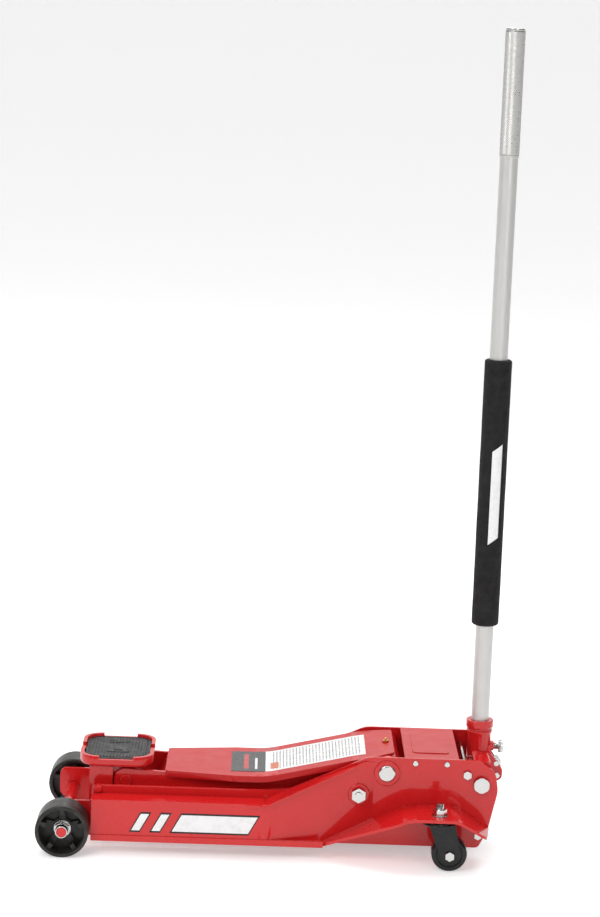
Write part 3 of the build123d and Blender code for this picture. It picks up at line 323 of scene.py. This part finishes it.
# ---------------------------------------------------------------- stage
def add_camera():
    """The camera low in front of the jack's side, a little above it, rolled slightly to its left."""
    yaw, pitch, roll = math.radians(0.82), math.radians(10.36), math.radians(2.17)
    ahead = Vector((math.sin(yaw) * math.cos(pitch), math.cos(yaw) * math.cos(pitch), -math.sin(pitch)))
    level = Vector((math.cos(yaw), -math.sin(yaw), 0))
    down = ahead.cross(level)
    right = math.cos(roll) * level - math.sin(roll) * down
    under = math.sin(roll) * level + math.cos(roll) * down
    data = bpy.data.cameras.new("camera")
    data.lens = 97.0
    data.sensor_width = 36.0
    data.clip_end = 100.0
    camera = bpy.data.objects.new("camera", data)
    bpy.context.scene.collection.objects.link(camera)
    turn = Matrix((right, -under, -ahead)).transposed()
    camera.matrix_world = Matrix.Translation((-0.030, -3.844, 1.325)) @ turn.to_4x4()
    bpy.context.scene.camera = camera


def add_light(name, place, target, size, power):
    data = bpy.data.lights.new(name, "AREA")
    data.shape = "RECTANGLE"
    data.size, data.size_y = size
    data.energy = power
    lamp = bpy.data.objects.new(name, data)
    bpy.context.scene.collection.objects.link(lamp)
    lamp.location = place
    lamp.rotation_mode = "QUATERNION"
    lamp.rotation_quaternion = (Vector(target) - Vector(place)).to_track_quat("-Z", "Y")


def add_stage():
    """Pale floor that sweeps up behind, pale surroundings and four large soft lights."""
    half, turn, radius, steps = 14.0, 7.0, 3.0, 16
    line = [(-10.0, 0.0)]
    for step in range(steps + 1):
        angle = math.pi / 2 * step / steps
        line.append((turn + radius * math.sin(angle), radius * (1 - math.cos(angle))))
    line.append((turn + radius, 9.0))
    verts = [(x, y, z) for y, z in line for x in (-half, half)]
    faces = [(2 * i, 2 * i + 1, 2 * i + 3, 2 * i + 2) for i in range(len(line) - 1)]
    mesh = bpy.data.meshes.new("floor")
    mesh.from_pydata(verts, [], faces)
    mesh.shade_smooth()
    floor = bpy.data.objects.new("floor", mesh)
    bpy.context.scene.collection.objects.link(floor)
    mat, tree, shader = new_material("floor", (0.80, 0.80, 0.80), 0.6)
    shader.inputs["Specular IOR Level"].default_value = 0.2
    shader.inputs["Emission Color"].default_value = (1, 1, 1, 1)
    shader.inputs["Emission Strength"].default_value = 0.40
    mesh.materials.append(mat)
    world = bpy.data.worlds.new("studio")
    bpy.context.scene.world = world
    world.use_nodes = True
    back = world.node_tree.nodes["Background"]
    tree = world.node_tree
    height = axis_value(tree, "Z")
    sky = ramp(tree, math_value(tree, "MULTIPLY_ADD", height, 0.5, 0.5),
               [(0.0, 0.75), (0.49, 0.40), (0.52, 0.12), (0.68, 0.22), (0.82, 0.85), (1.0, 1.0)])
    tree.links.new(sky, back.inputs["Color"])
    back.inputs["Strength"].default_value = 0.8
    add_light("key", (-1.8, -2.4, 2.6), (0, 0, 0.3), (1.8, 1.5), 50)
    add_light("front", (1.4, -3.4, 1.4), (0, 0, 0.25), (1.6, 1.1), 18)
    add_light("top", (0.1, 0.7, 3.2), (0, 0, 0.1), (3.4, 1.6), 52)
    add_light("rear", (0.5, 3.0, 2.4), (0, 0, 0.3), (2.4, 1.2), 24)
    bpy.context.scene.view_settings.view_transform = "Standard"


add_camera()
add_stage()


# ---------------------------------------------------------------- pieces
def place_piece(name, mesh, body, slot_name, material=None):
    """A smooth piece from a mesh, riding on a body, with its slot's material or one of its own."""
    obj = bpy.data.objects.new(name, mesh)
    bpy.context.scene.collection.objects.link(obj)
    mesh.materials.append(materials[material or slot_name])
    mesh.shade_smooth()
    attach(obj, body)
    return obj


def lathe(name, profile, base, steps):
    """A closed body of revolution about Z through a base point, from a (radius, height) loop."""
    verts = []
    for step in range(steps):
        angle = 2 * math.pi * step / steps
        verts += [(base.x + r * math.cos(angle), base.y + r * math.sin(angle), z) for r, z in profile]
    count = len(profile)
    faces = []
    for step in range(steps):
        here, there = step * count, (step + 1) % steps * count
        for i in range(count):
            after = (i + 1) % count
            faces.append((here + i, there + i, there + after, here + after))
    mesh = bpy.data.meshes.new(name)
    mesh.from_pydata(verts, [], faces)
    return mesh


def make_grip():
    """Foam sleeve with rounded ends, and the slight waves and dents of cut foam tube."""
    low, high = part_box("foam_grip")
    middle = (low + high) / 2
    outer, inner = (high.x - low.x) / 2 - 0.0004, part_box("handle_coupler")[1].y + 0.0022
    radius, rings = 0.0042, 6
    profile = [(inner, low.z), (outer - radius, low.z)]
    profile += [(outer - radius + radius * math.sin(a), low.z + radius - radius * math.cos(a))
                for a in (math.pi / 2 * i / rings for i in range(1, rings))]
    stretch = 150
    span = high.z - low.z - 2 * radius
    profile += [(outer, low.z + radius + span * i / stretch) for i in range(stretch + 1)]
    profile += [(outer - radius + radius * math.cos(a), high.z - radius + radius * math.sin(a))
                for a in (math.pi / 2 * i / rings for i in range(1, rings))]
    profile += [(outer - radius, high.z), (inner, high.z)]
    mesh = lathe("grip_foam", profile, middle, 72)
    for vert in mesh.vertices:
        away = Vector((vert.co.x - middle.x, vert.co.y - middle.y, 0))
        if away.length > inner + 0.001:
            wave = noise.noise(vert.co * 22) * 0.00028 + noise.noise(vert.co * 160) * 0.00010
            vert.co += away.normalized() * wave
    grip = place_piece("grip_foam", mesh, "handle", "foam")
    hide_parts("foam_grip")


def bar_on_grip():
    """Plain pale printed bar down the grip, on the side that faces the camera."""
    low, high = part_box("foam_grip")
    middle, radius = (low + high) / 2, (high.x - low.x) / 2
    columns, rows = 12, 60
    bottom, top, slant = low.z + 0.140, low.z + 0.290, 0.012
    verts = []
    for layer in (0.0001, 0.0004):
        for i in range(rows + 1):
            for k in range(columns + 1):
                side = k / columns - 0.5
                angle = math.radians(-80 + 42 * side)
                z = bottom + (top - bottom) * i / rows + slant * side
                r = radius + layer
                verts.append((middle.x + r * math.cos(angle), r * math.sin(angle), z))
    wide = columns + 1
    size = wide * (rows + 1)
    quads = [(i * wide + k, i * wide + k + 1, (i + 1) * wide + k + 1, (i + 1) * wide + k)
             for i in range(rows) for k in range(columns)]
    faces = [tuple(v + size for v in q) for q in quads] + [tuple(reversed(q)) for q in quads]
    rim = [k for k in range(columns)] + [i * wide + columns for i in range(rows)]
    rim += [rows * wide + k for k in range(columns, 0, -1)] + [i * wide for i in range(rows, 0, -1)]
    faces += [(rim[i], rim[(i + 1) % len(rim)], rim[(i + 1) % len(rim)] + size, rim[i] + size)
              for i in range(len(rim))]
    mesh = bpy.data.meshes.new("grip_bar")
    mesh.from_pydata(verts, [], faces)
    place_piece("grip_bar", mesh, "handle", "label_film", "decal_white")


def slanted_plate(bm, x0, x1, z0, z1, y, thick, slant, material):
    """A thin upright plate with slanted ends and a fine bevel, its face at y, turned outwards."""
    out = -1 if y < 0 else 1
    edge = 0.0002
    rings = ((0.0, y - out * thick), (0.0, y - out * edge), (edge, y))
    loops = []
    for inset, depth in rings:
        corners = [(x0 + inset, z0 + inset), (x1 - slant - inset, z0 + inset),
                   (x1 - inset, z1 - inset), (x0 + slant + inset, z1 - inset)]
        loops.append([bm.verts.new((cx, depth, cz)) for cx, cz in corners])
    made = []
    for first, second in zip(loops, loops[1:]):
        for i in range(4):
            made.append(bm.faces.new((first[i], first[(i + 1) % 4], second[(i + 1) % 4], second[i])))
    made += [bm.faces.new(loops[-1]), bm.faces.new(list(reversed(loops[0])))]
    for face in made:
        face.material_index = material


def make_stripes():
    """Plain slanted stripes, pale with a dark border, on each skirt."""
    for side_name, out in (("left", -1), ("right", 1)):
        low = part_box("side_skirt_" + side_name)[0]
        bm = bmesh.new()
        z0, z1 = low.z + STRIPE_BOTTOM, low.z + STRIPE_TOP
        for x0, x1 in STRIPE_SPANS:
            slanted_plate(bm, x0, x1, z0, z1, out * (SKIRT_FACE + 0.0004), 0.0004, 0.018, 1)
            slanted_plate(bm, x0 + BORDER_SIDE, x1 - BORDER_SIDE, z0 + BORDER_EDGE, z1 - BORDER_EDGE,
                          out * (SKIRT_FACE + 0.0007), 0.0004, 0.0150, 0)
        bmesh.ops.recalc_face_normals(bm, faces=bm.faces)
        mesh = bpy.data.meshes.new("stripes_" + side_name)
        bm.to_mesh(mesh)
        bm.free()
        obj = place_piece("stripes_" + side_name, mesh, "chassis", "label_film", "decal_white")
        mesh.materials.append(materials["decal_black"])
        mesh.shade_flat()


def rounded_outline(half_x, half_y, corner, steps):
    """Points round a rounded rectangle about the origin."""
    points = []
    for cx, cy, start in ((1, 1, 0), (-1, 1, 90), (-1, -1, 180), (1, -1, 270)):
        for step in range(steps + 1):
            angle = math.radians(start + 90 * step / steps)
            points.append((cx * (half_x - corner) + corner * math.cos(angle),
                           cy * (half_y - corner) + corner * math.sin(angle)))
    return points


def rib(bm, x0, x1, y0, y1, z0, z1, slope=0.0006):
    """A low bar with sloping sides."""
    foot = [bm.verts.new((x, y, z0)) for x, y in ((x0, y0), (x1, y0), (x1, y1), (x0, y1))]
    top = [bm.verts.new((x, y, z1)) for x, y in ((x0 + slope, y0 + slope), (x1 - slope, y0 + slope),
                                                  (x1 - slope, y1 - slope), (x0 + slope, y1 - slope))]
    for i in range(4):
        bm.faces.new((foot[i], foot[(i + 1) % 4], top[(i + 1) % 4], top[i]))
    bm.faces.new(top)
    bm.faces.new(list(reversed(foot)))


def make_pad():
    """Moulded rubber pad: rounded rim, fine ribs, and a plain raised frame in the middle."""
    low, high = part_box("saddle_pad")
    middle = (low + high) / 2
    half_x, half_y = (high.x - low.x) / 2, (high.y - low.y) / 2
    corner, raise_z = 0.0235, 0.0009
    face = high.z - raise_z
    bm = bmesh.new()
    loops = []
    for inset, z in ((0, low.z), (0, face - 0.0014), (0.0004, face - 0.0005), (0.0014, face),
                     (0.0042, face), (0.0050, face - 0.0010), (0.0066, face - 0.0010), (0.0074, face)):
        points = rounded_outline(half_x - inset, half_y - inset, corner - inset, 10)
        loops.append([bm.verts.new((middle.x + x, middle.y + y, z)) for x, y in points])
    count = len(loops[0])
    for first, second in zip(loops, loops[1:]):
        for i in range(count):
            bm.faces.new((first[i], first[(i + 1) % count], second[(i + 1) % count], second[i]))
    bm.faces.new(loops[-1])
    bm.faces.new(list(reversed(loops[0])))
    frame_x, frame_y, wide = 0.018, 0.027, 0.0028
    pitch, thick = 0.0052, 0.0026
    rows = int((half_x - 0.010) / pitch)
    for row in range(-rows, rows + 1):
        x = row * pitch
        reach = half_y - 0.010
        into_corner = abs(x) - (half_x - corner)
        if into_corner > 0:
            reach -= corner - 0.009 - math.sqrt(max((corner - 0.009) ** 2 - into_corner ** 2, 0))
        spans = [(-reach, reach)]
        if abs(x) < frame_x + wide:
            gap = frame_y + wide + 0.002
            spans = [(-reach, -gap), (gap, reach)]
        for y0, y1 in spans:
            rib(bm, middle.x + x - thick / 2, middle.x + x + thick / 2, middle.y + y0, middle.y + y1,
                face - 0.0004, high.z)
    for x0, x1, y0, y1 in ((-frame_x, frame_x, -frame_y, -frame_y + wide),
                           (-frame_x, frame_x, frame_y - wide, frame_y),
                           (-frame_x, -frame_x + wide, -frame_y + wide, frame_y - wide),
                           (frame_x - wide, frame_x, -frame_y + wide, frame_y - wide),
                           (-0.007, 0.007, -0.016, 0.016)):
        rib(bm, middle.x + x0, middle.x + x1, middle.y + y0, middle.y + y1, face - 0.0004, high.z)
    bmesh.ops.recalc_face_normals(bm, faces=bm.faces)
    mesh = bpy.data.meshes.new("pad_moulded")
    bm.to_mesh(mesh)
    bm.free()
    pad = place_piece("pad_moulded", mesh, "saddle", "pad_rubber")
    mesh.set_sharp_from_angle(angle=math.radians(35))
    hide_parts("saddle_pad")


def make_knurl():
    """Diamond knurling rolled into the top of the handle."""
    low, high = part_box("handle_cap")
    middle_x = (low.x + high.x) / 2
    top = high.z - 0.0045
    bottom = top - KNURL_LENGTH
    radius = (high.x - low.x) / 2 + 0.00005
    around, pitch = 56, 0.0018
    rows = int((top - bottom) / pitch)
    verts, faces = [], []
    for i in range(rows + 1):
        z = bottom + (top - bottom) * i / rows
        for k in range(around):
            angle = 2 * math.pi * k / around
            r = radius + (KNURL_RELIEF if (i + k) % 2 and 0 < i < rows else 0.0)
            verts.append((middle_x + r * math.cos(angle), r * math.sin(angle), z))
    for i in range(rows):
        for k in range(around):
            a, b = i * around + k, i * around + (k + 1) % around
            c, d = b + around, a + around
            if (i + k) % 2:
                faces += [(a, b, c), (a, c, d)]
            else:
                faces += [(a, b, d), (b, c, d)]
    skin = radius - 0.0004
    for row in (0, rows):
        ring = [row * around + k for k in range(around)]
        inner = len(verts)
        z = verts[ring[0]][2]
        for k in range(around):
            angle = 2 * math.pi * k / around
            verts.append((middle_x + skin * math.cos(angle), skin * math.sin(angle), z))
        for k in range(around):
            quad = (ring[k], ring[(k + 1) % around], inner + (k + 1) % around, inner + k)
            faces.append(quad if row else tuple(reversed(quad)))
    start = (rows + 1) * around
    for k in range(around):
        after = (k + 1) % around
        faces.append((start + k, start + around + k, start + around + after, start + after))
    mesh = bpy.data.meshes.new("knurling")
    mesh.from_pydata(verts, [], faces)
    place_piece("knurling", mesh, "handle", "handle_metal", "knurled")
    mesh.shade_flat()


def make_plunger_spring():
    """The pump plunger's spring, copied from the CAD part as a fixed piece on the chassis; on the jack it
    shortens towards the block as the socket is worked.
    """
    mesh = nodes["plunger_spring"].data.copy()
    mesh.transform(nodes["plunger_spring"].matrix_world)
    mesh.materials.clear()
    spring = place_piece("pump_spring", mesh, "chassis", "plated_steel")
    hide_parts("plunger_spring")
    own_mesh(spring)


make_grip()
bar_on_grip()
make_stripes()
make_pad()
make_knurl()
make_plunger_spring()


# ---------------------------------------------------------------- edges of the CAD nodes
def soften_edges():
    """Small rounded edges on the pressed, cast and machined pieces, with clean shading."""
    widths = {"red_paint": 0.9, "red_satin": 0.8, "plated_steel": 0.4, "cast_block": 1.0, "dark_paint": 0.6,
              "wheel_plastic": 0.8, "caster_rubber": 0.8}
    slot_of = {s["node"]: s["material_slot"] for s in frame["record"]["subparts"]}
    skip = ("return_springs", "plunger_spring", "arm_label")
    for name, obj in nodes.items():
        width = widths.get(slot_of[name])
        if not width or name in skip:
            continue
        weld = obj.modifiers.new("weld", "WELD")
        weld.merge_threshold = 0.00001
        bevel = obj.modifiers.new("bevel", "BEVEL")
        bevel.width = width * MM
        bevel.segments = 2
        bevel.limit_method = "ANGLE"
        bevel.angle_limit = math.radians(38)
        bevel.use_clamp_overlap = True
        bevel.harden_normals = True


soften_edges()
